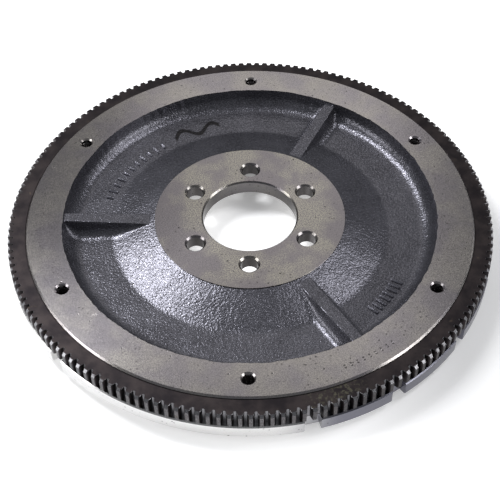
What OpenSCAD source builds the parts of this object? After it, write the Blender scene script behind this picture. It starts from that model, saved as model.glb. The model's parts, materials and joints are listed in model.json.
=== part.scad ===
// Flywheel for a manual gearbox: one iron casting, a shrunk-on steel ring gear and three dowel pins.
// The crankshaft side faces up. The part stands on its dowel pins, and the spin axis is Z.

/* [Rim] */
// Outside diameter of the rim flange below the ring gear
flange_d = 352.4; // [350:0.2:356]
// Thickness from the clutch face to the machined land
body_t = 24; // [23:0.5:28]
// Outside diameter of the land, which is also the seat of the ring gear
seat_d = 324.8; // [318:0.2:330]
// Inside diameter of the land, where the cast recess starts
land_inner_d = 272.4; // [266:0.2:276]
// Edge chamfer of the land
land_chamfer = 1.2; // [0.5:0.1:1.4]

/* [Hub] */
// Diameter of the machined crankshaft face
hub_d = 139.6; // [132:0.2:144]
// Depth of the crankshaft face below the land
hub_drop = 5.2; // [4:0.2:7]
// Diameter of the centre bore
bore_d = 68.8; // [60:0.2:72]
// Edge chamfer of the centre bore
bore_chamfer = 1.1; // [0.5:0.1:1.5]
// Thickness of the hub between its two faces
hub_t = 11.5; // [10:0.5:13]
// Diameter of the pocket on the clutch side
pocket_d = 156; // [146:1:160]

/* [Crankshaft bolts] */
// Pitch circle of the crankshaft bolt holes
crank_pcd = 95.25; // [94:0.25:98]
// Diameter of a crankshaft bolt hole
crank_hole_d = 12.9; // [11:0.1:14]
// Number of places on the pitch circle
crank_holes = 6; // [6:1:6]
// Angle by which one hole is turned, so that the part fits in one position only
key_offset = 5.4; // [3:0.1:7]
// Angle of the first crankshaft bolt hole
crank_start = 30; // [0:30:30]

/* [Clutch cover bolts] */
// Pitch circle of the clutch cover holes
cover_pcd = 295.3; // [290:0.1:298]
// Minor diameter of the tapped clutch cover holes
cover_hole_d = 8; // [7:0.1:9]
// Number of clutch cover holes
cover_holes = 6; // [6:1:6]
// Angle of the first clutch cover hole
cover_start = 90; // [30:60:90]

/* [Cast recess] */
// Depth of the recess floor below the land
recess_depth = 14.5; // [12:0.5:16]
// Radius at which the floor turns up into the cone
cone_base_r = 101; // [94:1:106]
// Fillet between the floor and the outer wall
wall_fillet = 11; // [6:0.5:11.5]
// Lean of the outer wall from upright
wall_draft = 12; // [8:1:14]
// Number of ribs
ribs = 3; // [3:1:3]
// Width of a rib at its outer end
rib_w = 8; // [6:0.5:11]
// Turn of the first rib from the X axis
rib_angle = 61.7; // [58:0.1:64]

/* [Sensor notches] */
// Radial depth of a notch in the flange
notch_depth = 4.8; // [3:0.2:6]
// Width of a notch
notch_w = 11; // [8:0.5:13]
// Notches in one group
notches_per_group = 4; // [2:1:5]
// Groups around the rim
notch_groups = 3; // [1:1:3]
// Angle between two notches of a group
notch_pitch = 20; // [16:1:22]
// Angle of the first notch
notch_start = -76.6; // [-80:0.1:-70]

/* [Ring gear] */
// Number of teeth
teeth = 164; // [150:1:168]
// Diameter over the tooth tips
gear_tip_d = 351.4; // [350.4:0.2:352]
// Diameter at the tooth roots
gear_root_d = 342.8; // [341:0.2:344]
// Face width of the ring gear
gear_w = 11.2; // [9:0.2:11.4]
// Depth of the gear's top face below the land
gear_drop = 1.5; // [1.5:0.1:2]
// Tooth thickness at mid-height
tooth_t = 3.3; // [3:0.05:3.5]
// Pressure angle of the flanks
pressure_angle = 20; // [18:1:22]
// Chamfer on the tooth tips
tip_chamfer = 0.8; // [0.4:0.1:1]
// Turn of the first tooth from the X axis, as it was shrunk on
tooth_phase = 0.57; // [0:0.01:2.2]

/* [Dowel pins] */
// Pitch circle of the dowel pins
dowel_pcd = 301.6; // [298:0.2:306]
// Diameter of a pin's free end
dowel_d = 8; // [6:0.5:9]
// Extra diameter of the part that is pressed into the casting
dowel_shank_extra = 0.5; // [0.4:0.1:1]
// Height of a pin above the clutch face
dowel_out = 5.5; // [4:0.5:7]
// Length of a pin inside the casting
dowel_in = 12; // [8:1:16]
// Number of pins
dowels = 3; // [3:1:3]

/* [Hidden] */

$fn = 96;
// Extra length so that a cut passes a face
pass = 1;
// Steps of a fillet drawn as short chords
arc_steps = 8;

// Heights above the plane that the pins stand on
clutch_z = dowel_out;
land_z = clutch_z + body_t;
gear_top_z = land_z - gear_drop;
gear_low_z = gear_top_z - gear_w;
hub_z = land_z - hub_drop;
hub_low_z = hub_z - hub_t;
floor_z = land_z - recess_depth;

// Radii
flange_r = flange_d / 2;
seat_r = seat_d / 2;
land_r = land_inner_d / 2;
hub_r = hub_d / 2;
bore_r = bore_d / 2;
tip_r = gear_tip_d / 2;
root_r = gear_root_d / 2;
tooth_pitch = 360 / teeth;

// The cone starts a little below the crankshaft face, at a cast shoulder
shoulder_drop = 0.8;
shoulder_w = 1.2;
flange_chamfer = 0.5;
// Chamfers of the bolt holes
crank_chamfer = 1.3;
cover_chamfer = 1.1;
// A rib's top slopes down towards the hub
rib_outer_drop = 2;
rib_inner_drop = 6.6;
rib_inner_r = hub_r + 6;
rib_draft = 12.5;
rib_fillet = 5;
// Width of the block that a rib's side view is cut from, wider than any foot
rib_block_w = 60;
// Index of the crankshaft bolt hole that is turned by the key offset
key_hole = 3;
// The fillet at a rib's foot meets the floor at an angle, this far below it
foot_angle = 74;
foot_depth = 0.3;

// Points of an arc from angle a0 to a1 about c
function arc(c, r, a0, a1) =
    [for (i = [0 : arc_steps]) c + r * [cos(a0 + (a1 - a0) * i / arc_steps), sin(a0 + (a1 - a0) * i / arc_steps)]];

// A cylinder from low to high, with a chamfer that opens it out at either mouth
module hole(d, low, high, chamfer) {
    translate([0, 0, low - pass]) cylinder(d = d, h = high - low + 2 * pass);
    for (end = [[low, 1], [high, -1]])
        translate([0, 0, end[0]]) rotate_extrude() polygon([
            [0, -end[1] * pass],
            [d / 2 + chamfer + pass, -end[1] * pass],
            [d / 2, end[1] * chamfer],
            [0, end[1] * chamfer]
        ]);
}

// Half section of the casting, with the recess already in it
module casting_section() {
    // The wall leans outward from the end of its fillet up to the land, tangent to the fillet
    wall_rise = recess_depth - wall_fillet * (1 - sin(wall_draft));
    fillet_c = [
        land_r - wall_rise * tan(wall_draft) - wall_fillet * cos(wall_draft),
        floor_z + wall_fillet
    ];
    polygon(concat(
        [
            [bore_r, hub_low_z],
            [bore_r, hub_z - bore_chamfer],
            [bore_r + bore_chamfer, hub_z],
            [hub_r, hub_z],
            [hub_r + shoulder_w, hub_z - shoulder_drop],
            [cone_base_r, floor_z]
        ],
        arc(fillet_c, wall_fillet, -90, -wall_draft),
        [
            [land_r, land_z],
            [seat_r - land_chamfer, land_z],
            [seat_r, land_z - land_chamfer],
            [seat_r, gear_low_z],
            [flange_r - flange_chamfer, gear_low_z],
            [flange_r, gear_low_z - flange_chamfer],
            [flange_r, clutch_z + flange_chamfer],
            [flange_r - flange_chamfer, clutch_z],
            [pocket_d / 2, clutch_z],
            [pocket_d / 2, hub_low_z]
        ]
    ));
}

// Cross-section of a rib, drafted sides with a fillet at the foot; the fillet ends a little under the floor
module rib_section() {
    top_z = land_z - rib_outer_drop;
    fillet_z = floor_z - foot_depth + rib_fillet * sin(foot_angle);
    foot = rib_w / 2 + (top_z - fillet_z) * tan(rib_draft);
    right = arc([foot + rib_fillet, fillet_z], rib_fillet, 180 + rib_draft, 180 + foot_angle);
    left = [for (i = [arc_steps : -1 : 0]) [-right[i][0], right[i][1]]];
    polygon(concat(
        [[rib_w / 2, top_z]],
        right,
        [[right[arc_steps][0], floor_z - pass], [-right[arc_steps][0], floor_z - pass]],
        left,
        [[-rib_w / 2, top_z]]
    ));
}

// Side view of a rib, from the hub's cone to the outer wall
module rib_side() {
    polygon([
        [hub_r, floor_z - pass],
        [land_r + pass, floor_z - pass],
        [land_r + pass, land_z - rib_outer_drop],
        [land_r, land_z - rib_outer_drop],
        [rib_inner_r, land_z - rib_inner_drop],
        [hub_r, land_z - rib_inner_drop - 1]
    ]);
}

module rib() {
    intersection() {
        translate([hub_r, 0, 0]) rotate([90, 0, 90]) linear_extrude(land_r - hub_r + 1) rib_section();
        translate([0, rib_block_w / 2, 0]) rotate([90, 0, 0]) linear_extrude(rib_block_w) rib_side();
    }
}

// Angle of each crankshaft bolt hole, with the offset one turned further
function crank_angle(i) = crank_start + 360 / crank_holes * i + (i == key_hole ? key_offset : 0);

// Angle of each notch
function notch_angle(group, i) = notch_start + 360 / notch_groups * group + notch_pitch * i;

// Angle of each dowel pin, midway between two clutch cover holes
function dowel_angle(i) = 360 / dowels * i;

module flywheel_casting() {
    color([0.42, 0.42, 0.43]) difference() {
        union() {
            rotate_extrude($fn = 180) casting_section();
            for (i = [0 : ribs - 1]) rotate(rib_angle + 360 / ribs * i) rib();
        }
        for (i = [0 : crank_holes - 1])
            rotate(crank_angle(i)) translate([crank_pcd / 2, 0, 0])
                hole(crank_hole_d, hub_low_z, hub_z, crank_chamfer);
        for (i = [0 : cover_holes - 1])
            rotate(cover_start + 360 / cover_holes * i) translate([cover_pcd / 2, 0, 0])
                hole(cover_hole_d, clutch_z, land_z, cover_chamfer);
        for (i = [0 : dowels - 1])
            rotate(dowel_angle(i)) translate([dowel_pcd / 2, 0, clutch_z - pass])
                cylinder(d = dowel_d + dowel_shank_extra, h = dowel_in + pass);
        for (group = [0 : notch_groups - 1])
            for (i = [0 : notches_per_group - 1])
                rotate(notch_angle(group, i))
                    translate([flange_r - notch_depth, -notch_w / 2, clutch_z - pass])
                        cube([notch_depth + pass, notch_w, gear_low_z - clutch_z + pass]);
    }
}

// Outline of the gear: straight flanks at the pressure angle, flat tips and flat roots
function tooth(i) =
    let(
        mid_r = (tip_r + root_r) / 2,
        tip_half = tooth_t / 2 - (tip_r - mid_r) * tan(pressure_angle),
        root_half = tooth_t / 2 + (mid_r - root_r) * tan(pressure_angle),
        a = tooth_phase + i * tooth_pitch,
        along = [cos(a), sin(a)],
        across = [-sin(a), cos(a)]
    )
    [
        root_r * along - root_half * across,
        tip_r * along - tip_half * across,
        tip_r * along + tip_half * across,
        root_r * along + root_half * across
    ];

module ring_gear() {
    outline = [for (i = [0 : teeth - 1]) each tooth(i)];
    color([0.17, 0.15, 0.14]) intersection() {
        difference() {
            translate([0, 0, gear_low_z]) linear_extrude(gear_w) polygon(outline);
            translate([0, 0, gear_low_z - pass]) cylinder(r = seat_r, h = gear_w + 2 * pass, $fn = 180);
        }
        translate([0, 0, gear_low_z]) rotate_extrude($fn = 180) polygon([
            [seat_r - pass, 0],
            [tip_r + pass, 0],
            [tip_r + pass, gear_w - tip_chamfer - pass],
            [tip_r - tip_chamfer, gear_w],
            [seat_r - pass, gear_w]
        ]);
    }
}

// A stepped pin: chamfered free end, a short taper, and the shank in the casting
module dowel_pin(i) {
    edge = 0.8;
    taper = 0.4;
    shoulder_z = clutch_z - 0.2;
    r = dowel_d / 2;
    shank_r = r + dowel_shank_extra / 2;
    color([0.62, 0.62, 0.60]) rotate(dowel_angle(i)) translate([dowel_pcd / 2, 0, 0])
        rotate_extrude() polygon([
            [0, 0],
            [r - edge, 0],
            [r, edge],
            [r, shoulder_z - taper],
            [shank_r, shoulder_z],
            [shank_r, clutch_z + dowel_in],
            [0, clutch_z + dowel_in]
        ]);
}

flywheel_casting();
ring_gear();
dowel_pin(0);  // dowel_pin_1
dowel_pin(1);  // dowel_pin_2
dowel_pin(2);  // dowel_pin_3
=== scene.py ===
"""Looks of a cast flywheel with a shrunk-on starter ring gear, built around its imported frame."""

import json
import math

import bpy
import numpy as np
from mathutils import Matrix, Vector


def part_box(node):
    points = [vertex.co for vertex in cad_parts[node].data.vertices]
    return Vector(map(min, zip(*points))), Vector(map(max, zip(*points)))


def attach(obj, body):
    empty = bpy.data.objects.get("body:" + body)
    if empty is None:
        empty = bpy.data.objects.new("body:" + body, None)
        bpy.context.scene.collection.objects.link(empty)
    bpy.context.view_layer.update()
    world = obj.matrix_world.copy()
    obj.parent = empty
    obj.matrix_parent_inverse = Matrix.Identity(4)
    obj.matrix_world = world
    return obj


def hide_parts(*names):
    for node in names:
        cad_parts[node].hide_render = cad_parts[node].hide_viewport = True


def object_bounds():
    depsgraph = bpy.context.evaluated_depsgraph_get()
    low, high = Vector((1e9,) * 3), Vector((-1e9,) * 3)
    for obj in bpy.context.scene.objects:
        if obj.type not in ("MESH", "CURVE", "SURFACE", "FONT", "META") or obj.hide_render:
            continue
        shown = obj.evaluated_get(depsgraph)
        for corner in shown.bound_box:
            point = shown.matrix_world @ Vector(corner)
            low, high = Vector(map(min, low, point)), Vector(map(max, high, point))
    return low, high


bl_info = {
    "name": "Flywheel",
    "version": (1, 0, 0),
    "blender": (4, 5, 0),
    "location": "3D View > Sidebar > Flywheel",
    "description": "Builds a cast flywheel with its ring gear, cast recess, hub and studio",
    "category": "Object",
}

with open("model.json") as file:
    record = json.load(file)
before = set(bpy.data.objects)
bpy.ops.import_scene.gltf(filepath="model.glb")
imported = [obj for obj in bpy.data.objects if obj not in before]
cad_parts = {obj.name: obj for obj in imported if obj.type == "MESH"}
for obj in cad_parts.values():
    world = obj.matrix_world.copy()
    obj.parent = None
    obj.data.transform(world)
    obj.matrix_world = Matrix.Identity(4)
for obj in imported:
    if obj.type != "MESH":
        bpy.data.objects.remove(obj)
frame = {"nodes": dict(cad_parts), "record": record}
CAD_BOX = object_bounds()

MM = 0.001
BODY = "root"
CASTING_NODE = "flywheel_casting"
GEAR_NODE = "ring_gear"
MOUNTS = {mount["name"]: mount for mount in frame["record"]["mounts"]}
CASTING_LOW, CASTING_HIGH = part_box(CASTING_NODE)
GEAR_LOW, GEAR_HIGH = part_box(GEAR_NODE)

# Heights that the frame gives
CLUTCH_Z = CASTING_LOW.z
LAND_Z = CASTING_HIGH.z
GEAR_Z = (GEAR_LOW.z, GEAR_HIGH.z)
HUB_Z = MOUNTS["crank_face"]["pos_m"][2]
# The centre bore, the bolt holes and the rim, as the frame gives them
BORE_R = MOUNTS["crank_pilot"]["dims"]["r_mm"] * MM
CRANK_HOLES = [mount for name, mount in MOUNTS.items() if name.startswith("crank_bolt_")]
CRANK_HOLE_R = CRANK_HOLES[0]["dims"]["r_mm"] * MM
COVER = MOUNTS["cover_bolts"]["dims"]
COVER_CIRCLE_R = COVER["pcd_mm"] * MM / 2
FLANGE_R = min(CASTING_HIGH.x, CASTING_HIGH.y, -CASTING_LOW.x, -CASTING_LOW.y)
TIP_R = min(GEAR_HIGH.x, GEAR_HIGH.y, -GEAR_LOW.x, -GEAR_LOW.y)
# Seat that the ring gear is shrunk on to, at the land's outer edge
SEAT_R = 162.4 * MM
RIBS = 3


# Mesh helpers

def new_object(name, points, faces, material, sharp_degrees=35):
    """A smooth-shaded object from an array of points and lists of faces, with hard edges past an angle."""
    mesh = bpy.data.meshes.new(name)
    mesh.from_pydata(points.tolist(), [], faces)
    mesh.validate()
    finish_mesh(mesh, sharp_degrees)
    if material:
        mesh.materials.append(material)
    piece = bpy.data.objects.new(name, mesh)
    bpy.context.scene.collection.objects.link(piece)
    return piece


def finish_mesh(mesh, sharp_degrees):
    """Smooth shading, with the edges sharper than an angle kept hard."""
    mesh.polygons.foreach_set("use_smooth", np.ones(len(mesh.polygons), bool))
    mesh.set_sharp_from_angle(angle=math.radians(sharp_degrees))
    mesh.update()


def ring_faces(rows, columns):
    """Quads of a grid that closes on itself both along its rows and along its columns."""
    row, column = np.meshgrid(np.arange(rows), np.arange(columns), indexing="ij")
    next_row, next_column = (row + 1) % rows, (column + 1) % columns
    corners = (
        row * columns + column,
        row * columns + next_column,
        next_row * columns + next_column,
        next_row * columns + column,
    )
    return np.stack(corners, axis=-1).reshape(-1, 4)


def ring_points(radius, angle, height):
    """Points at (radius cos angle, radius sin angle, height), from arrays of rows by columns."""
    radius, angle, height = np.broadcast_arrays(radius, angle, height)
    return np.stack([radius * np.cos(angle), radius * np.sin(angle), height], axis=-1)


def ring_piece(name, points, material):
    """A closed ring: a section carried round the axis, its points given as rows by columns by 3."""
    faces = ring_faces(*points.shape[:2]).tolist()
    return new_object(name, points.reshape(-1, 3), faces, material)


def column(values):
    """A list of numbers as a column of rows, ready to broadcast over the angles."""
    return np.asarray(values, float)[:, None]


def waves(x, y, lengths, count, seed):
    """Smooth unevenness, mostly between -1 and 1: a sum of plane cosine waves, each with a direction, a phase
    and a length drawn at random."""
    draw = np.random.default_rng(seed)
    total = np.zeros_like(x)
    for _ in range(count):
        direction, phase = draw.uniform(0, 2 * math.pi, 2)
        rate = 2 * math.pi / draw.uniform(*lengths)
        total += np.cos(rate * (x * math.cos(direction) + y * math.sin(direction)) + phase)
    return total / math.sqrt(count / 2) / 2


def soft_max(a, b, width):
    """The larger of a and b, rounded over a band of a width where they meet."""
    band = np.clip(1 - np.abs(a - b) / width, 0, 1)
    return np.maximum(a, b) + band * band * width / 4


def soft_min(a, b, width):
    """The smaller of a and b, rounded over a band of a width where they meet."""
    return -soft_max(-a, -b, width)


def land_edge(angle, sizes):
    """Radius of the land's inner edge: a circle plus the broad and the fine waves that the casting leaves."""
    x, y = np.cos(angle), np.sin(angle)
    broad = waves(x, y, lengths=(0.12, 0.5), count=14, seed=4)
    fine = waves(x, y, lengths=(0.035, 0.09), count=24, seed=5)
    return sizes.land_inner_radius + sizes.edge_waviness * (broad + 0.6 * fine)


def cut(piece, cutters):
    """Takes the cutters' shapes out of a piece and leaves a plain mesh with its hard edges marked again."""
    modifier = piece.modifiers.new("holes", "BOOLEAN")
    modifier.operation = "DIFFERENCE"
    modifier.solver = "EXACT"
    modifier.object = cutters
    bpy.context.view_layer.update()
    depsgraph = bpy.context.evaluated_depsgraph_get()
    mesh = bpy.data.meshes.new_from_object(piece.evaluated_get(depsgraph))
    piece.modifiers.clear()
    old, piece.data = piece.data, mesh
    mesh.name = piece.name
    bpy.data.meshes.remove(old)
    bpy.data.objects.remove(cutters)
    finish_mesh(mesh, 30)
    return piece


def band_faces(low, high, here, after):
    """Quads between two loops of points, whose numbers start at low and at high."""
    return np.stack([low + here, low + after, high + after, high + here], axis=-1)


def lathe_shells(section, places, steps):
    """Points and faces of one turned solid at each place (x, y): a section of (radius, height) that runs from
    axis to axis, carried round in steps, with a fan of triangles at each pole."""
    section = np.asarray(section, float)
    here = np.arange(steps)
    after = (here + 1) % steps
    angle = here * 2 * math.pi / steps
    middle = ring_points(column(section[1:-1, 0]), angle, column(section[1:-1, 1])).reshape(-1, 3)
    solid = np.vstack([[0, 0, section[0, 1]], middle, [0, 0, section[-1, 1]]])
    last = len(solid) - 1
    starts = range(1, last, steps)
    walls = [band_faces(low, high, here, after) for low, high in zip(starts, starts[1:])]
    low_cap = np.stack([np.zeros(steps, int), 1 + after, 1 + here], axis=-1)
    high_cap = np.stack([np.full(steps, last), starts[-1] + here, starts[-1] + after], axis=-1)
    points, faces = [], []
    for i, (x, y) in enumerate(places):
        points.append(solid + [x, y, 0])
        for block in [low_cap, *walls, high_cap]:
            faces += (block + i * len(solid)).tolist()
    return np.vstack(points), faces


# Shader helpers

class Signal:
    """One shader socket. Arithmetic on it adds Math nodes, so shader maths reads as an expression."""

    def __init__(self, paint, socket):
        self.paint = paint
        self.socket = socket

    def maths(self, operation, *values):
        return self.paint.node("ShaderNodeMath", {"operation": operation}, values)

    def __add__(self, other):
        return self.maths("ADD", self, other)

    def __sub__(self, other):
        return self.maths("SUBTRACT", self, other)

    def __rsub__(self, other):
        return self.maths("SUBTRACT", other, self)

    def __mul__(self, other):
        return self.maths("MULTIPLY", self, other)

    __radd__ = __add__
    __rmul__ = __mul__

    def unsigned(self):
        return self.maths("ABSOLUTE", self)

    def larger(self, other):
        return self.maths("MAXIMUM", self, other)

    def sine(self):
        return self.maths("SINE", self)

    def root(self):
        return self.maths("SQRT", self)

    def step(self, start, end):
        """0 before start and 1 past end, with a smooth change between them; start may be the larger."""
        settings = {"interpolation_type": "SMOOTHSTEP", "clamp": True}
        first, last = (0.0, 1.0) if start < end else (1.0, 0.0)
        inputs = (self, min(start, end), max(start, end), first, last)
        return self.paint.node("ShaderNodeMapRange", settings, inputs)


class Paint:
    """A material of one Principled shader and the nodes that feed it."""

    def __init__(self, name):
        self.material = bpy.data.materials.new(name)
        self.material.use_nodes = True
        self.tree = self.material.node_tree
        self.shader = self.tree.nodes["Principled BSDF"]
        self.place = self.node("ShaderNodeTexCoord", output="Object")
        self.x, self.y, self.z = self.parts(self.place)
        self.radius = (self.x * self.x + self.y * self.y).root()
        self.angle = self.x.maths("ARCTAN2", self.y, self.x)
        normal = self.node("ShaderNodeNewGeometry", output="Normal")
        self.facing_up = self.parts(normal)[2]

    def fill(self, sockets, values):
        """Links signals to sockets and sets constants on them; values are in order, or by name or number."""
        given = values if isinstance(values, dict) else dict(enumerate(values))
        for key, value in given.items():
            socket = sockets[key]
            if isinstance(value, Signal):
                self.tree.links.new(value.socket, socket)
            elif socket.type == "RGBA":
                socket.default_value = (*value, 1)
            else:
                socket.default_value = value

    def node(self, kind, settings=None, inputs=(), output=0):
        """Adds a node of a type: its settings first, then the values or signals of its sockets."""
        made = self.tree.nodes.new(kind)
        for name, value in (settings or {}).items():
            setattr(made, name, value)
        self.fill(made.inputs, inputs)
        return Signal(self, made.outputs[output])

    def parts(self, vector):
        """The three numbers of a vector."""
        first = self.node("ShaderNodeSeparateXYZ", inputs=(vector,))
        return [Signal(self, socket) for socket in first.socket.node.outputs]

    def vector(self, x, y, z):
        return self.node("ShaderNodeCombineXYZ", inputs=(x, y, z))

    def grain(self, size, detail=2.0, roughness=0.5, place=None, seed=0.0):
        """Soft noise from 0 to 1 with lumps of about a size in metres."""
        settings = {"noise_dimensions": "4D"}
        inputs = (place or self.place, seed, 1 / size, detail, roughness)
        return self.node("ShaderNodeTexNoise", settings, inputs)

    def cells(self, size, feature="F1"):
        """Distance to the nearest of scattered points that lie about a size in metres apart."""
        inputs = {"Vector": self.place, "Scale": 1 / size}
        return self.node("ShaderNodeTexVoronoi", {"feature": feature}, inputs, "Distance")

    def blend(self, amount, first, second):
        """A colour between two others, the second where the amount is 1."""
        return self.node("ShaderNodeMix", {"data_type": "RGBA"}, {0: amount, 6: first, 7: second}, 2)

    def bump(self, height, distance):
        """A normal bent by a height from 0 to 1 that stands for a distance in metres."""
        return self.node("ShaderNodeBump", inputs={"Height": height, "Distance": distance, "Strength": 1.0})

    def feed(self, **values):
        """Fills the shader's sockets, named with underscores for spaces, and gives the material."""
        self.fill(self.shader.inputs, {name.replace("_", " "): value for name, value in values.items()})
        return self.material


def toned(tone, share):
    """A colour made darker or brighter by a share."""
    return tuple(share * part for part in tone)


def turning_marks(paint, width, detail, roughness):
    """Fine lines that a lathe leaves round the axis: noise that changes only with radius and height."""
    return paint.grain(width, detail, roughness, place=paint.vector(paint.radius, 0.0, paint.z))


def shaded_hole_walls(paint):
    """0.9 on the walls of the tapped and bolt holes, and a little less on the centre bore: a dull tone with
    painted shade inside the holes.
    """
    upright = paint.facing_up.unsigned().step(0.5, 0.2)
    tapped = paint.radius.step(COVER_CIRCLE_R - 8 * MM, COVER_CIRCLE_R - 6 * MM)
    under_mouth = paint.z.step(LAND_Z - 1.0 * MM, LAND_Z - 1.4 * MM)
    over_exit = paint.z.step(CLUTCH_Z, CLUTCH_Z + 0.6 * MM)
    within_seat = paint.radius.step(SEAT_R - 1.5 * MM, SEAT_R - 3 * MM)
    inside = upright.larger(tapped * (under_mouth * over_exit)) * within_seat
    centre = paint.radius.step(BORE_R + 3 * MM, BORE_R + 1.5 * MM)
    return inside * (0.9 - centre * 0.12)


def punched_row(paint):
    """A row of plain punched pairs on the land: 1 in each small mark."""
    middle, half_height, pitch = 152 * MM, 1.7 * MM, math.radians(1.75)
    start, end, soft_end = math.radians(-67), math.radians(-50.5), 0.005
    across = (paint.radius - middle).unsigned()
    row = across.step(half_height, half_height - 0.3 * MM)
    split = across.step(0.35 * MM, 0.6 * MM)
    along = (paint.angle * (2 * math.pi / pitch)).sine().step(0.55, 0.85)
    window = paint.angle.step(start, start + soft_end) * paint.angle.step(end, end - soft_end)
    return row * along * split * window * paint.z.step(LAND_Z - 0.3 * MM, LAND_Z - 0.1 * MM)


def turned_face(paint, look, specks, cloud, stain):
    """Colour of turned iron: a cool and a warm tone, smoky on the hub, with dark graphite specks, fine bright
    grains and dull stains."""
    fine = paint.grain(0.45 * MM, 2.0, 0.6, seed=5.0)
    hub = paint.radius.step(75 * MM, 69 * MM)
    plain = paint.blend(cloud.step(0.35, 0.65), look.machined_cool, look.machined_warm)
    smoky = paint.blend(cloud.step(0.42, 0.6), look.smoky_cool, look.smoky_warm)
    face = paint.blend(hub * 0.65, plain, smoky)
    dark = (1.0 - specks.step(0.38, 0.6)) * (0.5 + hub * 0.5)
    speckled = paint.blend(dark, face, toned(look.machined_cool, 0.5))
    bright = paint.blend(fine.step(0.55, 0.8) * 0.22, speckled, look.bright_grain)
    return paint.blend(stain * 0.4, bright, look.stain)


def flange_with_painted_shade(paint, look, face):
    """Colour of a face with the rim flange below the ring gear cut brighter, and a painted shade over the
    flange's right side.
    """
    under_gear = paint.z.step(GEAR_Z[0] + 0.2 * MM, GEAR_Z[0])
    flange = under_gear * paint.radius.step(SEAT_R, FLANGE_R - 6 * MM)
    # Painted shade on the right side of the flange, where it would reflect the shaded floor.
    shaded_side = paint.angle.step(math.radians(-85), math.radians(-70)) * paint.angle.step(1.2, 0.6)
    bright = paint.blend(flange * 0.9, face, look.fresh_cut)
    return paint.blend(flange * shaded_side * 0.95, bright, look.flange_painted_shade)


def machined_iron(name, look):
    """Turned grey iron: fine rings from the tool, graphite specks, small pits and dull stains, with a bright
    flange that carries a painted shade on its right side, hole walls in a dull tone with painted shade,
    painted shade at the bottom of the pits and punched marks, and a row of punched marks."""
    paint = Paint(name)
    specks = paint.grain(0.9 * MM, 3.0, 0.7)
    cloud = paint.grain(28 * MM, 3.0, 0.55, seed=2.0)
    stain = paint.grain(9 * MM, 4.0, 0.6, seed=11.0).step(0.68, 0.78)
    rings = turning_marks(paint, 0.5 * MM, 3.0, 0.7)
    pits = paint.cells(5.5 * MM).step(0.14, 0.06) * paint.grain(17 * MM, seed=7.0).step(0.46, 0.6)
    pricks = paint.cells(4 * MM).step(0.2, 0.1) * paint.grain(25 * MM, seed=13.0).step(0.42, 0.62)
    punched = punched_row(paint)
    face = flange_with_painted_shade(paint, look, turned_face(paint, look, specks, cloud, stain))
    # Hole walls: a dull tone with painted shade inside the holes.
    drilled_and_shaded = paint.blend(shaded_hole_walls(paint), face, look.drilled_and_shaded)
    # Painted shade at the bottom of pits and punched marks.
    shaded_hollows = (pits.larger(pricks * 0.7) * 0.85).larger(punched * 0.75)
    tone = paint.blend(shaded_hollows, drilled_and_shaded, look.hollow_shade)
    depth = rings + specks * 0.25 - pits * 3.0 - punched * 2.0
    rough = 0.165 + specks * 0.08 + stain * 0.25 + cloud * 0.04
    return paint.feed(Base_Color=tone, Metallic=1.0, Roughness=rough, Normal=paint.bump(depth, 0.02 * MM),
                      Anisotropic=0.5, Anisotropic_Rotation=0.25)


def ink_stroke(paint):
    """A stroke of marker on the recess floor: 1 near a sine wave that runs round the axis for a stretch."""
    start, end, soft_end = math.radians(103), math.radians(123), 0.01
    middle, swing, half_width = 112.5 * MM, 4.6 * MM, 1.35 * MM
    turns = 1.6
    rate = 2 * math.pi * turns / (end - start)
    line = (paint.angle * rate - start * rate).sine() * swing + middle
    near = (paint.radius - line).unsigned().step(half_width * 2.2, half_width * 1.2)
    begun = paint.angle.step(start - soft_end, start + soft_end)
    return near * begun * paint.angle.step(end + soft_end, end - soft_end)


def sand_cast_iron(name, look, brightened=0.0):
    """Sand-cast skin: dark blue-grey, with orange-peel grains whose peaks carry a painted highlight,
    scattered bright grit and a stroke of marker; brightened is how far the whole skin is lifted towards that
    light tone."""
    paint = Paint(name)
    pebbles = paint.cells(1.45 * MM, "SMOOTH_F1")
    lumps = paint.grain(0.95 * MM, 2.0, 0.55)
    swell = paint.grain(6 * MM, 2.0, 0.5, seed=3.0)
    fine = paint.grain(0.4 * MM, 2.0, 0.6, seed=6.0)
    cloud = paint.grain(34 * MM, 3.0, 0.6, seed=9.0)
    grit = paint.grain(0.8 * MM, 3.0, 0.75, seed=17.0).step(0.52, 0.66)
    peaks = lumps.step(0.46, 0.64)
    skin = paint.blend(cloud.step(0.3, 0.7), look.cast_dark, look.cast_light)
    # Painted highlight on the grain peaks, together with bright grit and the brightened share.
    painted_sparkle = paint.blend((peaks * 0.6).larger(grit) + brightened, skin, toned(look.cast_light, 2.2))
    inked = paint.blend(ink_stroke(paint) * 0.95, painted_sparkle, look.ink)
    depth = lumps - pebbles * 1.1 + swell * 0.35 + fine * 0.25
    rough = 0.215 + fine * 0.1 - peaks * 0.05 + cloud * 0.04
    return paint.feed(Base_Color=inked, Metallic=0.75, Roughness=rough, Normal=paint.bump(depth, 0.175 * MM))


def painted_root_reflection(paint):
    """1 on the cut bottoms of the gaps between teeth, over a width that grows downward by a slope: a painted
    reflection of the bright floor in the tooth roots.
    """
    root_r, slope = TIP_R - 4.3 * MM, 0.13
    edge = root_r + 0.3 * MM + GEAR_Z[1] * slope
    low = (paint.radius + paint.z * slope).step(edge, edge - 0.4 * MM)
    return low * paint.radius.step(root_r - 0.5 * MM, root_r - 0.3 * MM) * paint.facing_up.step(0.5, 0.3)


def grease_smear(paint):
    """A broken smear of grease on the gear's upper face, between two angles at the front."""
    broken = paint.grain(2.5 * MM, 4.0, 0.7, seed=21.0).step(0.5, 0.62) * paint.facing_up.step(0.93, 0.97)
    return broken * (paint.angle.step(-1.38, -1.3) * paint.angle.step(-1.08, -1.18))


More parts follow.
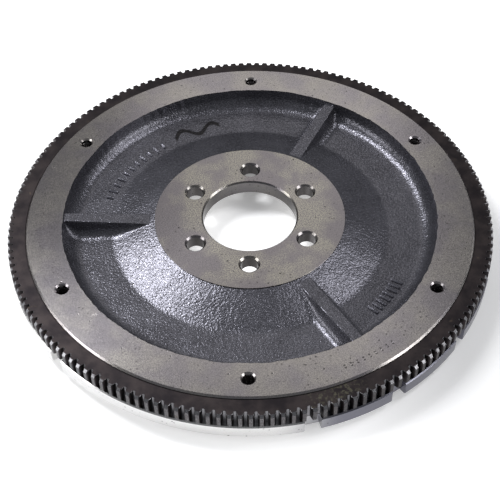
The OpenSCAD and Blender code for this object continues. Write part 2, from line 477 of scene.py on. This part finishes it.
def gear_steel(name, look):
    """Hardened steel with dark heat oxide and a little rust, bare on the tooth chamfers, with a patchy
    painted highlight on the tooth tips that is weaker on the right side, and a painted reflection at the
    tooth roots."""
    paint = Paint(name)
    cloud = paint.grain(13 * MM, 3.0, 0.6)
    fine = paint.grain(0.8 * MM, 2.0, 0.6, seed=4.0)
    rings = turning_marks(paint, 0.7 * MM, 2.0, 0.6)
    rust = paint.grain(7 * MM, 4.0, 0.65, seed=8.0).step(0.62, 0.76)
    brightened = paint.radius.step(TIP_R - 0.9 * MM, TIP_R - 0.1 * MM) * fine.step(0.3, 0.7)
    # Painted highlight: the tips are left less bright on the right side.
    brightened = brightened * (1.0 - paint.x.step(0.0, 90 * MM) * 0.65)
    sloped = paint.facing_up.step(0.3, 0.45) * paint.facing_up.step(0.93, 0.85)
    chamfered = sloped * paint.radius.step(SEAT_R + 6 * MM, SEAT_R + 7 * MM)
    oxide = paint.blend(cloud.step(0.3, 0.7), look.oxide_dark, look.oxide_brown)
    # Bare chamfers, with painted highlights on the tips and painted reflections in the roots.
    bare_and_lit = (brightened * 0.33).larger(chamfered * 0.52).larger(painted_root_reflection(paint) * 0.5)
    steel_and_highlight_tone = paint.blend(bare_and_lit, oxide, look.steel)
    rusted = paint.blend(rust * 0.4, steel_and_highlight_tone, look.rust)
    smeared = paint.blend(grease_smear(paint) * 0.7, rusted, look.grease)
    rough = 0.34 + fine * 0.16 + rust * 0.25 - chamfered * 0.16
    normal = paint.bump(rings * 0.6 + fine, 0.03 * MM)
    return paint.feed(Base_Color=smeared, Metallic=0.9, Roughness=rough, Normal=normal)


def ground_steel(name, look):
    """Ground dowel pins: bright steel with fine lines round the pin and light oil marks."""
    paint = Paint(name)
    lines = paint.grain(0.25 * MM, 2.0, 0.6, place=paint.vector(0.0, 0.0, paint.z))
    marks = paint.grain(3 * MM, 3.0, 0.6)
    tone = paint.blend(marks.step(0.4, 0.7) * 0.4, look.steel, toned(look.steel, 0.6))
    rough = 0.22 + marks * 0.12
    return paint.feed(Base_Color=tone, Metallic=1.0, Roughness=rough, Normal=paint.bump(lines, 0.01 * MM))


def studio_paper(name, look):
    """Matt white paper with a faint fibre and a soft shade to the right of the wheel. It glows a little round
    the wheel and through its bore, less so where the bore's back wall shades it."""
    paint = Paint(name)
    fibre = paint.grain(2 * MM, 2.0, 0.6)
    shade = (paint.x * 0.95 - paint.y * 0.3).step(0.1, 0.19) * paint.radius.step(0.44, 0.22)
    tone = paint.blend(shade * 0.4 + fibre * 0.05, look.paper, look.paper_shade)
    under_back_wall = paint.y.step(0.005, 0.035) * paint.x.unsigned().step(0.035, 0.0)
    in_bore = paint.radius.step(0.1, 0.06) * (1.0 - under_back_wall * 0.55)
    lit = in_bore.larger(paint.radius.step(0.1, 0.19)) - shade * 0.9
    glow = paint.blend(lit, look.paper_unlit, tone)
    return paint.feed(Base_Color=tone, Roughness=0.9, Specular_IOR_Level=0.1,
                      Emission_Color=glow, Emission_Strength=0.45)


# Sizes and colours that a user would change

def length(name, description, default):
    """A size in metres."""
    return bpy.props.FloatProperty(
        name=name, description=description, default=default, min=0.0, precision=5, unit="LENGTH")


def colour(name, description, default):
    """A colour of three parts from 0 to 1."""
    return bpy.props.FloatVectorProperty(
        name=name, description=description, default=default, size=3, min=0.0, max=1.0, subtype="COLOR")


def angle(name, description, degrees):
    """An angle whose default is given in degrees."""
    default = math.radians(degrees)
    return bpy.props.FloatProperty(
        name=name, description=description, default=default, subtype="ANGLE", unit="ROTATION")


class CastingSizes(bpy.types.PropertyGroup):
    """Sizes of the iron casting that the frame doesn't give."""

    land_inner_radius: length("Land inner radius", "Inner edge of the machined land", 136.2 * MM)
    edge_waviness: length("Edge waviness", "Unevenness of the land's cast inner edge", 0.45 * MM)
    land_chamfer: length("Land chamfer", "Chamfer on the land's outer edge", 1.2 * MM)
    flange_chamfer: length("Flange chamfer", "Chamfer on the rim flange's edges", 0.8 * MM)
    hub_radius: length("Hub radius", "Edge of the machined crankshaft face", 69.8 * MM)
    hub_step: length("Hub step", "Height of the machined face above the cast cone", 0.8 * MM)
    hub_thickness: length("Hub thickness", "Thickness of the hub", 11.5 * MM)
    bore_chamfer: length("Bore chamfer", "Chamfer on the centre bore", 1.1 * MM)
    pocket_radius: length("Pocket radius", "Radius of the pocket on the clutch side", 78 * MM)
    recess_depth: length("Recess depth", "Depth of the recess floor below the land", 14.5 * MM)
    cone_radius: length("Cone radius", "Where the floor turns up into the cone", 101 * MM)
    wall_fillet: length("Wall fillet", "Fillet between the floor and the outer wall", 11 * MM)
    wall_draft: angle("Wall draft", "Lean of the outer wall from upright", 12)
    rib_fillet: length("Rib fillet", "Largest fillet between a rib's side and the floor", 7 * MM)
    rib_width: length("Rib width", "Width of a rib's top at its outer end", 8 * MM)
    rib_angle: angle("Rib angle", "Turn of the first rib from the X axis", 61.7)
    notch_depth: length("Notch depth", "Depth of a sensor notch", 4.8 * MM)
    notch_width: length("Notch width", "Width of a sensor notch", 11 * MM)
    notch_angle: angle("Notch angle", "Turn of the first sensor notch from the X axis", -76.6)
    roughness_height: length("Cast swell", "Height of the broad unevenness of the cast skin", 0.07 * MM)


class GearSizes(bpy.types.PropertyGroup):
    """Sizes of the ring gear's teeth."""

    teeth: bpy.props.IntProperty(name="Teeth", description="Number of teeth", default=164, min=20)
    root_radius: length("Root radius", "Radius at the tooth roots", 171.4 * MM)
    tooth_thickness: length("Tooth thickness", "Thickness of a tooth at the pitch circle", 3.75 * MM)
    tip_chamfer: length("Tip chamfer", "Lead-in chamfer on the tooth tips", 1.7 * MM)
    edge_break: length("Edge break", "Small chamfer at the ends of the flanks", 0.12 * MM)
    phase: angle("Phase", "Turn of the first tooth from the X axis", 0.57)


class FlywheelColours(bpy.types.PropertyGroup):
    """Colours of the finishes and of the studio."""

    machined_cool: colour("Machined iron", "Cool tone of turned iron", (0.328, 0.305, 0.324))
    machined_warm: colour("Machined iron, warm", "Warm tone of turned iron", (0.405, 0.38, 0.36))
    smoky_cool: colour("Smoky iron", "Cool tone of the hub's face", (0.17, 0.155, 0.165))
    smoky_warm: colour("Smoky iron, warm", "Warm tone of the hub's face", (0.33, 0.315, 0.256))
    bright_grain: colour("Bright grain", "Fine bright grains of turned iron", (0.60, 0.58, 0.57))
    stain: colour("Stain", "Dull stains on turned iron", (0.12, 0.10, 0.08))
    # Painted shade at the bottom of pits and punched marks.
    hollow_shade: colour("Pit", "Bottom of pits and punched marks", (0.03, 0.028, 0.026))
    # Hole walls: a dull tone with painted shade inside the holes.
    drilled_and_shaded: colour("Hole walls", "Dull tone of the drilled and tapped walls", (0.1, 0.095, 0.095))
    fresh_cut: colour("Fresh cut iron", "Bright tone of the rim flange", (0.74, 0.735, 0.73))
    # Painted shade on the rim flange's right side.
    flange_painted_shade: colour("Oil film", "Film of oil on the rim flange", (0.14, 0.14, 0.175))
    cast_dark: colour("Cast skin, dark", "Dark tone of the sand-cast skin", (0.046, 0.045, 0.053))
    cast_light: colour("Cast skin, light", "Light tone of the sand-cast skin", (0.082, 0.081, 0.094))
    ink: colour("Ink", "Stroke of marker on the recess floor", (0.008, 0.007, 0.008))
    oxide_dark: colour("Oxide, dark", "Dark heat oxide of the ring gear", (0.018, 0.015, 0.017))
    oxide_brown: colour("Oxide, brown", "Brown heat oxide of the ring gear", (0.042, 0.034, 0.034))
    rust: colour("Rust", "Light rust on the ring gear", (0.16, 0.12, 0.08))
    grease: colour("Grease", "Smear of grease on the ring gear", (0.11, 0.105, 0.075))
    steel: colour("Steel", "Bare steel", (0.43, 0.43, 0.455))
    paper: colour("Paper", "Paper floor", (0.93, 0.93, 0.93))
    paper_shade: colour("Paper, shaded", "Paper floor in the shade of the wheel", (0.55, 0.55, 0.55))
    paper_unlit: colour("Paper, unlit", "Glow of the paper away from the wheel", (0.2, 0.2, 0.2))
    backdrop: colour("Backdrop", "Light from all round", (0.93, 0.96, 1.0))


def values_of(kind):
    """The scene's property group of a kind."""
    return getattr(bpy.context.scene, "flywheel_" + kind)


def ready(piece, node):
    """Rides the piece on the flywheel's one body and hides the frame's part that it stands for."""
    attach(piece, BODY)
    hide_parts(node)


# The pieces

def rib_turn(index, sizes):
    """Angle of a rib: the first one's, plus a third of a turn for each one after it."""
    return sizes.rib_angle + index * 2 * math.pi / RIBS


def wrapped(angle):
    """An angle brought to between half a turn back and half a turn on."""
    return (angle + math.pi) % (2 * math.pi) - math.pi


def recess_section(sizes):
    """Radius and height of the recess from hub to land: a straight cone, a flat floor, a fillet arc and a
    drafted wall tangent to it."""
    floor_z = LAND_Z - sizes.recess_depth
    cone_z = HUB_Z - sizes.hub_step
    cone_blend = 0.5 * MM
    fillet, draft = sizes.wall_fillet, sizes.wall_draft
    wall_rise = sizes.recess_depth - fillet * (1 - math.sin(draft))
    arc_centre = sizes.land_inner_radius - fillet * math.cos(draft) - wall_rise * math.tan(draft)
    cone = np.linspace(sizes.hub_radius, sizes.cone_radius, 31)
    flat = np.linspace(sizes.cone_radius, arc_centre, 21)[1:]
    sweep = np.linspace(-math.pi / 2, -draft, 18)[1:]
    wall = np.linspace(0, 1, 7)[1:]
    slope = (cone_z - floor_z) / (sizes.cone_radius - sizes.hub_radius)
    arc_r = arc_centre + fillet * np.cos(sweep)
    arc_z = floor_z + fillet * (1 + np.sin(sweep))
    radius = np.concatenate([cone, flat, arc_r, arc_r[-1] + (sizes.land_inner_radius - arc_r[-1]) * wall])
    height = np.concatenate([
        soft_max(floor_z + slope * (sizes.cone_radius - cone), floor_z, cone_blend),
        np.full(len(flat), floor_z),
        arc_z,
        arc_z[-1] + (LAND_Z - arc_z[-1]) * wall,
    ])
    return radius, height


def recess_angles(radius, sizes):
    """Angles of the grid's columns at each radius: lines parallel to each rib, closest at its edge and
    fillet, and even turns from one rib's lines to the next."""
    top = [0, 1.3, 2.5, 3.3, 3.7]
    edge_and_fillet = [3.95, 4.2, 4.5, 4.9, 5.4, 6.0, 6.7, 7.5, 8.5, 9.8, 11.4, 13.2, 15.2]
    beside = np.array(top + edge_and_fillet) * MM
    offsets = np.concatenate([-beside[:0:-1], beside])
    near = np.arcsin(offsets[None, :] / radius[:, None])
    between = np.linspace(0, 1, 262)[1:-1]
    start, end = near[:, -1:], near[:, :1] + 2 * math.pi / RIBS
    apart = start + (end - start) * between
    third = np.concatenate([near, apart], axis=1)
    return np.concatenate([third + rib_turn(i, sizes) for i in range(RIBS)], axis=1)


def fillet_rise(outside, reach, slope):
    """Height of a round fillet and the straight side above it, at a distance outside the side's foot.
    The arc of radius reach is tangent to the level floor and to a side that climbs at a slope."""
    turned = math.atan(slope)
    tangent = reach * math.tan(turned / 2)
    along = np.clip(tangent - outside, 0, None)
    on_arc = along <= reach * math.sin(turned)
    arc = reach - np.sqrt(np.clip(reach * reach - along * along, 0, None))
    return np.where(on_arc, arc, -slope * outside)


def with_ribs(radius, angle, base, sizes):
    """Height of the recess with its ribs: each has a flat top that slopes down to the hub, drafted sides,
    and fillets that grow with the rib's height over the floor."""
    outer_drop, inner_drop = 2.0 * MM, 6.6 * MM
    inner_r = sizes.hub_radius + 6 * MM
    side_slope = 4.5
    edge_round, run_out = 1.0 * MM, 0.9 * MM
    fillet_share, least_fillet = 0.75, 0.4 * MM
    rise = (inner_drop - outer_drop) / (sizes.land_inner_radius - inner_r)
    height = base.copy()
    for i in range(RIBS):
        away = wrapped(angle - rib_turn(i, sizes))
        along, across = radius * np.cos(away), np.abs(radius * np.sin(away))
        top = LAND_Z - outer_drop - rise * (sizes.land_inner_radius - along)
        foot = sizes.rib_width / 2 + (LAND_Z - outer_drop - base) / side_slope
        reach = np.clip(fillet_share * (top - base), least_fillet, sizes.rib_fillet)
        side = base + fillet_rise(across - foot, reach, side_slope)
        raised = np.where(top > base, soft_min(top, side, edge_round), soft_max(top, base, run_out))
        near = (np.abs(away) < math.pi / RIBS) & (side > base)
        height = np.where(near, np.maximum(base, raised), height)
    return height


def upward_normals(grid):
    """Unit normals of a grid of points, from its differences along rows and round columns, all facing up."""
    along = np.gradient(grid, axis=0)
    around = np.roll(grid, -1, axis=1) - np.roll(grid, 1, axis=1)
    normal = np.cross(along, around)
    normal /= np.linalg.norm(normal, axis=-1, keepdims=True)
    return normal * np.sign(normal[..., 2:3])


def cast_swell(grid):
    """Unevenness of the cast skin at each point of a grid: broad and fine waves, which fade out over the
    first and the last four rows."""
    x, y = grid[..., 0], grid[..., 1]
    broad = waves(x, y, lengths=(9 * MM, 30 * MM), count=40, seed=1)
    fine = waves(x, y, lengths=(3.5 * MM, 7 * MM), count=60, seed=2)
    rows = np.arange(len(grid))
    fade = np.clip(np.minimum(rows, rows[::-1]) / 4, 0, 1)
    return (broad + 0.45 * fine) * column(fade)


def build_web(sizes, material):
    """The cast web with its recess: a section from hub to land carried round the axis, raised at the ribs,
    pushed along its normal by smooth waves, and closed by the clutch face and the pocket below."""
    section_r, section_z = recess_section(sizes)
    angle = recess_angles(section_r, sizes)
    up_wall = np.clip((section_z - section_z.min()) / sizes.recess_depth, 0, 1)
    up_wall = up_wall * (section_r > sizes.cone_radius)
    wave = land_edge(angle, sizes) - sizes.land_inner_radius
    radius = column(section_r) + wave * column(up_wall)
    base = np.broadcast_to(column(section_z), angle.shape)
    height = with_ribs(radius, angle, base, sizes)
    height[-1] = LAND_Z
    height[0] = section_z[0]
    top = ring_points(radius, angle, height)
    top = top + upward_normals(top) * (cast_swell(top) * sizes.roughness_height)[..., None]
    edge_angle, hub_angle = angle[-1], angle[0]
    hub_low = HUB_Z - sizes.hub_thickness
    below = np.stack([
        ring_points(land_edge(edge_angle, sizes), edge_angle, CLUTCH_Z),
        ring_points(sizes.pocket_radius, hub_angle, CLUTCH_Z),
        ring_points(sizes.pocket_radius, hub_angle, hub_low),
        ring_points(sizes.hub_radius, hub_angle, hub_low),
    ])
    return ring_piece("cast_web", np.concatenate([top, below]), material)


def machine_below(piece, material, height):
    """Gives the faces whose centres lie below a height a second material."""
    mesh = piece.data
    mesh.materials.append(material)
    centres = np.empty(len(mesh.polygons) * 3)
    mesh.polygons.foreach_get("center", centres)
    mesh.polygons.foreach_set("material_index", (centres[2::3] < height).astype(int))


def notch_columns(sizes):
    """Angles round the rim, even but for those at each notch's corners, and whether each is in a notch."""
    groups, notches, notch_pitch = 3, 4, 20
    half = math.asin(sizes.notch_width / 2 / FLANGE_R)
    corner = 0.35 * MM / FLANGE_R
    starts = np.array([
        sizes.notch_angle + math.radians(360 / groups * group + notch_pitch * i)
        for group in range(groups) for i in range(notches)
    ])
    even = np.linspace(-math.pi, math.pi, 721)[:-1]
    clear = (np.abs(wrapped(even[:, None] - starts)) > half + 3 * corner).all(axis=1)
    outside, inside = [half + corner, half], [half - corner / 4, half - corner * 4, half / 3]
    across = np.array(outside + inside)
    across = np.concatenate([-across, across[::-1]])
    cut_in = np.abs(across) < half
    angles = np.concatenate([even[clear], wrapped(starts[:, None] + across).ravel()])
    notched = np.concatenate([np.zeros(clear.sum(), bool), np.tile(cut_in, len(starts))])
    order = np.argsort(angles)
    return angles[order], notched[order]


def hole_section(radius, chamfer, low, high, thread=None):
    """Section of a hole's cutter from axis to axis: straight between a chamfer at each mouth, or a zigzag of
    thread grooves if a pitch and a depth are given."""
    over = 1 * MM
    wide = radius + chamfer + over
    inner = [(radius, low + chamfer)]
    if thread:
        pitch, groove = thread
        turns = int((high - low - 2 * chamfer) / pitch) - 1
        for i in range(turns):
            z = low + chamfer + pitch * (i + 0.5)
            inner += [(radius, z), (radius + groove, z + pitch / 2)]
    inner.append((radius, high - chamfer))
    return [(0, low - over), (wide, low - over), *inner, (wide, high + over), (0, high + over)]


def hole_cutters(name, section, places, steps):
    """One object of like cutters, a turned solid at each place."""
    points, faces = lathe_shells(section, places, steps)
    return new_object(name, points, faces, None)


def build_rim(sizes, material):
    """The rim: a section of land, ring gear seat and flange carried round the axis, drawn in at the notches,
    with the tapped cover holes cut."""
    angle, notched = notch_columns(sizes)
    flange = np.where(notched, FLANGE_R - sizes.notch_depth, FLANGE_R)
    edge = land_edge(angle, sizes)
    chamfer, small = sizes.land_chamfer, sizes.flange_chamfer
    ledge = GEAR_Z[0]
    rows = [
        (edge, LAND_Z),
        (SEAT_R - chamfer, LAND_Z),
        (SEAT_R, LAND_Z - chamfer),
        (SEAT_R, ledge),
        (flange - small, ledge),
        (flange, ledge - small),
        (flange, CLUTCH_Z + small),
        (flange - small, CLUTCH_Z),
        (edge, CLUTCH_Z),
    ]
    points = np.stack([ring_points(radius, angle, height) for radius, height in rows])
    rim = ring_piece("rim", points[::-1], material)
    turns = math.pi / 2 + 2 * math.pi / COVER["count"] * np.arange(COVER["count"])
    places = ring_points(COVER_CIRCLE_R, turns, 0.0)[:, :2]
    mouth, thread_pitch, thread_depth = 1.1 * MM, 25.4 * MM / 16, 0.55 * MM
    thread = (thread_pitch, thread_depth)
    section = hole_section(COVER["hole_r_mm"] * MM, mouth, CLUTCH_Z, LAND_Z, thread)
    return cut(rim, hole_cutters("cover_hole_cutters", section, places, steps=40))


def build_hub(sizes, material):
    """The hub: a section of machined crankshaft face, chamfered centre bore and flat underside carried round
    the axis, with the bolt holes cut."""
    angle = np.radians(np.arange(360))
    low = HUB_Z - sizes.hub_thickness
    bevel, chamfer, small = 0.08 * MM, sizes.bore_chamfer, 0.6 * MM
    rows = [
        (sizes.hub_radius, HUB_Z - bevel),
        (sizes.hub_radius - bevel, HUB_Z),
        (BORE_R + chamfer, HUB_Z),
        (BORE_R, HUB_Z - chamfer),
        (BORE_R, low + small),
        (BORE_R + small, low),
        (sizes.hub_radius, low),
    ]
    points = np.stack([ring_points(radius, angle, height) for radius, height in rows])
    hub = ring_piece("hub", points, material)
    mouth = 1.3 * MM
    section = hole_section(CRANK_HOLE_R, mouth, low, HUB_Z)
    places = [mount["pos_m"][:2] for mount in CRANK_HOLES]
    return cut(hub, hole_cutters("crank_hole_cutters", section, places, steps=48))


def involute(pressure):
    """The involute function of an angle: its tangent less the angle."""
    return np.tan(pressure) - pressure


def tooth_outline(sizes):
    """Radius and angle along one tooth, from gap to gap: a flat root, and two flanks that follow the involute
    of the base circle, as thick as the tooth is on the pitch circle."""
    root, tip = sizes.root_radius, TIP_R
    pitch_r, pressure = (root + tip) / 2, math.radians(17)
    base_r = pitch_r * math.cos(pressure)
    flank_r = root + (tip - root) * np.array([0.12, 0.3, 0.5, 0.7, 0.88, 1.0])
    spread = involute(pressure) - involute(np.arccos(base_r / flank_r))
    flank = sizes.tooth_thickness / 2 / pitch_r + spread
    foot = flank[0] + 0.1 * MM / root
    mid_gap = math.pi / sizes.teeth
    side_r = np.concatenate([[root, root + 0.03 * (tip - root)], flank_r])
    side_a = np.concatenate([[(foot + mid_gap) / 2, foot], flank])
    return np.concatenate([side_r, side_r[::-1]]), np.concatenate([-side_a, side_a[::-1]])


def build_gear(sizes, material):
    """The ring gear: an outline of involute teeth carried up through the face width, its tips and flanks
    drawn in near both ends for the chamfers, and closed through the bore."""
    tooth_r, tooth_a = tooth_outline(sizes)
    middle = sizes.phase + np.arange(sizes.teeth) * 2 * math.pi / sizes.teeth
    angle = (middle[:, None] + tooth_a).ravel()
    side = np.tile(np.sign(tooth_a), sizes.teeth)
    radius = np.tile(tooth_r, sizes.teeth)
    on_flank = radius > sizes.root_radius + 0.2 * MM
    low, high = GEAR_Z
    chamfer, low_chamfer, small = sizes.tip_chamfer, 0.5 * MM, sizes.edge_break
    # Height, how far the tips are drawn in, and how far the flanks are drawn in
    levels = [
        (low, low_chamfer, small),
        (low + small, low_chamfer - small, 0.0),
        (low + low_chamfer, 0.0, 0.0),
        (high - chamfer, 0.0, 0.0),
        (high - small, chamfer - small, 0.0),
        (high, chamfer, small),
    ]
    rings = []
    for z, tip_in, flank_in in levels:
        drawn = np.minimum(radius, TIP_R - tip_in)
        rings.append(ring_points(drawn, angle - side * flank_in * on_flank / drawn, z))
    shoulder, edge = sizes.root_radius - 0.6 * MM, 0.5 * MM
    bore = [
        (shoulder, high),
        (SEAT_R + edge, high),
        (SEAT_R, high - edge),
        (SEAT_R, low + edge),
        (SEAT_R + edge, low),
        (shoulder, low),
    ]
    rings += [ring_points(r, angle, z) for r, z in bore]
    return ring_piece("ring_gear_teeth", np.stack(rings), material)


def raised_bar(bar_length, width, height):
    """Loops of points of a rounded bar on a plane: an ellipsoid's upper half, its ends moved apart to the
    bar's length, over a foot sunk below the plane."""
    around, levels, sunk = 16, 5, 0.6 * MM
    u = np.arange(around) * 2 * math.pi / around
    v = column(np.linspace(0, 1, levels))
    spread = np.sqrt(1 - v * v) * width / 2
    x = spread * np.cos(u) + np.sign(np.cos(u)) * (bar_length - width) / 2
    y = spread * np.sin(u)
    dome = np.stack([x, y, np.broadcast_to(v * height, x.shape)], axis=-1)
    foot = np.stack([x[0], y[0], np.full(around, -sunk)], axis=-1)
    return np.concatenate([foot[None], dome])


def build_marks(sizes, material):
    """Foundry marks: a row of plain raised bars and a row of paired studs, all pointing outwards on the
    recess floor, each closed below by a flat foot."""
    floor_z = LAND_Z - sizes.recess_depth
    height = 1.6 * MM
    bar_circle, bar_width, first_bar, bar_pitch = 110 * MM, 2.6 * MM, 129.5, 3.6
    stud_circle, stud_width, first_pair, pair_pitch, half_pair = 118 * MM, 2.3 * MM, -30, 4.3, 1.1
    short_bar, long_bar, stud = 6.5 * MM, 8.5 * MM, 9.5 * MM
    bars = [
        (bar_circle, first_bar + bar_pitch * i, long_bar if i % 2 else short_bar, bar_width)
        for i in range(11)
    ]
    studs = [
        (stud_circle, first_pair - pair_pitch * i + side, stud, stud_width)
        for i in range(4) for side in (-half_pair, half_pair)
    ]
    points, faces, count = [], [], 0
    for radius, degrees, bar_length, width in bars + studs:
        loops = raised_bar(bar_length, width, height)
        levels, around = loops.shape[:2]
        turned = Matrix.Rotation(math.radians(degrees), 3, "Z")
        centre = ring_points(radius, math.radians(degrees), floor_z)
        here = np.arange(around)
        after = (here + 1) % around
        starts = count + around * np.arange(levels)
        for low, high in zip(starts, starts[1:]):
            faces += band_faces(low, high, here, after).tolist()
        faces.append((here[::-1] + count).tolist())
        points.append(loops.reshape(-1, 3) @ np.array(turned).T + centre)
        count += levels * around
    return new_object("foundry_marks", np.vstack(points), faces, material, 60)


# Operators

class FLYWHEEL_OT_casting(bpy.types.Operator):
    """Builds the casting: web, rim, hub and foundry marks"""

    bl_idname = "flywheel.casting"
    bl_label = "Casting"

    def execute(self, context):
        sizes, look = values_of("casting"), values_of("colours")
        machined = machined_iron("machined_iron", look)
        skin = sand_cast_iron("sand_cast_iron", look)
        brightened = sand_cast_iron("rubbed_cast_iron", look, brightened=0.7)
        web = build_web(sizes, skin)
        machine_below(web, machined, HUB_Z - sizes.hub_thickness + 0.3 * MM)
        rim, hub = build_rim(sizes, machined), build_hub(sizes, machined)
        for piece in (web, rim, hub, build_marks(sizes, brightened)):
            ready(piece, CASTING_NODE)
        return {"FINISHED"}


class FLYWHEEL_OT_ring_gear(bpy.types.Operator):
    """Builds the starter ring gear with its involute teeth"""

    bl_idname = "flywheel.ring_gear"
    bl_label = "Ring gear"

    def execute(self, context):
        steel = gear_steel("gear_steel", values_of("colours"))
        ready(build_gear(values_of("gear"), steel), GEAR_NODE)
        return {"FINISHED"}


class FLYWHEEL_OT_dowels(bpy.types.Operator):
    """Finishes the dowel pins in ground steel"""

    bl_idname = "flywheel.dowels"
    bl_label = "Dowel pins"

    def execute(self, context):
        steel = ground_steel("ground_steel", values_of("colours"))
        for name, node in frame["nodes"].items():
            if name.startswith("dowel_pin"):
                for slot in node.material_slots:
                    slot.material = steel
        return {"FINISHED"}


def soft_box(name, place, size, power, tint=(1, 1, 1), target=(0, 0, 0)):
    """An oblong area light at a place, aimed at a target: sizes in metres, power in watts."""
    light = bpy.data.lights.new(name, "AREA")
    light.shape, light.size, light.size_y = "RECTANGLE", *size
    light.energy, light.color = power, tint
    lamp = bpy.data.objects.new(name, light)
    lamp.location = place
    lamp.rotation_euler = (Vector(target) - Vector(place)).to_track_quat("-Z", "Y").to_euler()
    bpy.context.scene.collection.objects.link(lamp)


def add_lights():
    """A key behind on the left, a strip over the back edge, a low light at each side and a soft fill."""
    soft_box("key", place=(-1.13, 0.82, 1.91), size=(0.5, 0.9), power=41, tint=(0.97, 0.98, 1.0))
    soft_box("strip", place=(0.04, 1.95, 2.05), size=(0.95, 1.3), power=4.0, tint=(1.0, 0.975, 0.94))
    soft_box("left", place=(-1.59, -0.3, 0.68), size=(1.0, 0.6), power=9.5)
    soft_box("right", place=(1.41, -0.35, 0.77), size=(1.0, 0.45), power=9, target=(0, 0, 0.02))
    soft_box("fill", place=(1.2, 0.38, 1.8), size=(0.7, 0.9), power=15, tint=(0.98, 0.98, 1.0))


def add_backdrop(scene, tone):
    """An even pale light from all round."""
    world = bpy.data.worlds.new("studio")
    scene.world = world
    world.use_nodes = True
    background = world.node_tree.nodes["Background"]
    background.inputs["Color"].default_value = (*tone, 1)
    background.inputs["Strength"].default_value = 0.2


def add_camera(scene):
    """A long lens above the front edge, turned a little about the axis and about its own line of sight."""
    elevation, roll, swing = math.radians(48.363), math.radians(1.293), math.radians(1.3)
    focal, sensor = 72.23, 36.0
    aside, back, above_land = -0.00042, -0.5084, 0.5278
    camera = bpy.data.cameras.new("camera")
    camera.lens, camera.sensor_width, camera.sensor_fit = focal, sensor, "HORIZONTAL"
    body = bpy.data.objects.new("camera", camera)
    place = Matrix.Translation((aside, back, above_land + LAND_Z))
    tilt = Matrix.Rotation(math.pi / 2 - elevation, 4, "X") @ Matrix.Rotation(-roll, 4, "Z")
    body.matrix_world = Matrix.Rotation(swing, 4, "Z") @ place @ tilt
    scene.collection.objects.link(body)
    scene.camera = body


class FLYWHEEL_OT_studio(bpy.types.Operator):
    """Sets the pale floor, the soft lights and the camera"""

    bl_idname = "flywheel.studio"
    bl_label = "Studio"

    def execute(self, context):
        look = values_of("colours")
        half_side = 6.0
        corners = np.array([[-1, -1, 0], [1, -1, 0], [1, 1, 0], [-1, 1, 0]], float) * half_side
        level = [0, 0, CAD_BOX[0].z]
        paper = studio_paper("studio_paper", look)
        floor = new_object("floor", corners + level, [[0, 1, 2, 3]], paper)
        add_backdrop(context.scene, look.backdrop)
        add_lights()
        add_camera(context.scene)
        context.scene.view_settings.view_transform = "Standard"
        return {"FINISHED"}


class FLYWHEEL_PT_panel(bpy.types.Panel):
    """Lists the pieces, sizes and colours"""

    bl_label = "Flywheel"
    bl_space_type = "VIEW_3D"
    bl_region_type = "UI"
    bl_category = "Flywheel"

    def draw(self, context):
        for operator in OPERATORS:
            self.layout.operator(operator.bl_idname)
        for kind in GROUPS:
            box = self.layout.box()
            group = values_of(kind)
            for name in group.__annotations__:
                box.prop(group, name)


GROUPS = {"casting": CastingSizes, "gear": GearSizes, "colours": FlywheelColours}
OPERATORS = (FLYWHEEL_OT_casting, FLYWHEEL_OT_ring_gear, FLYWHEEL_OT_dowels, FLYWHEEL_OT_studio)


def register():
    for made in (*GROUPS.values(), *OPERATORS, FLYWHEEL_PT_panel):
        bpy.utils.register_class(made)
    for kind, group in GROUPS.items():
        setattr(bpy.types.Scene, "flywheel_" + kind, bpy.props.PointerProperty(type=group))


def unregister():
    for kind in GROUPS:
        delattr(bpy.types.Scene, "flywheel_" + kind)
    for made in reversed((*GROUPS.values(), *OPERATORS, FLYWHEEL_PT_panel)):
        bpy.utils.unregister_class(made)


def main():
    register()
    bpy.ops.flywheel.casting()
    bpy.ops.flywheel.ring_gear()
    bpy.ops.flywheel.dowels()
    bpy.ops.flywheel.studio()


if __name__ == "__main__":
    main()
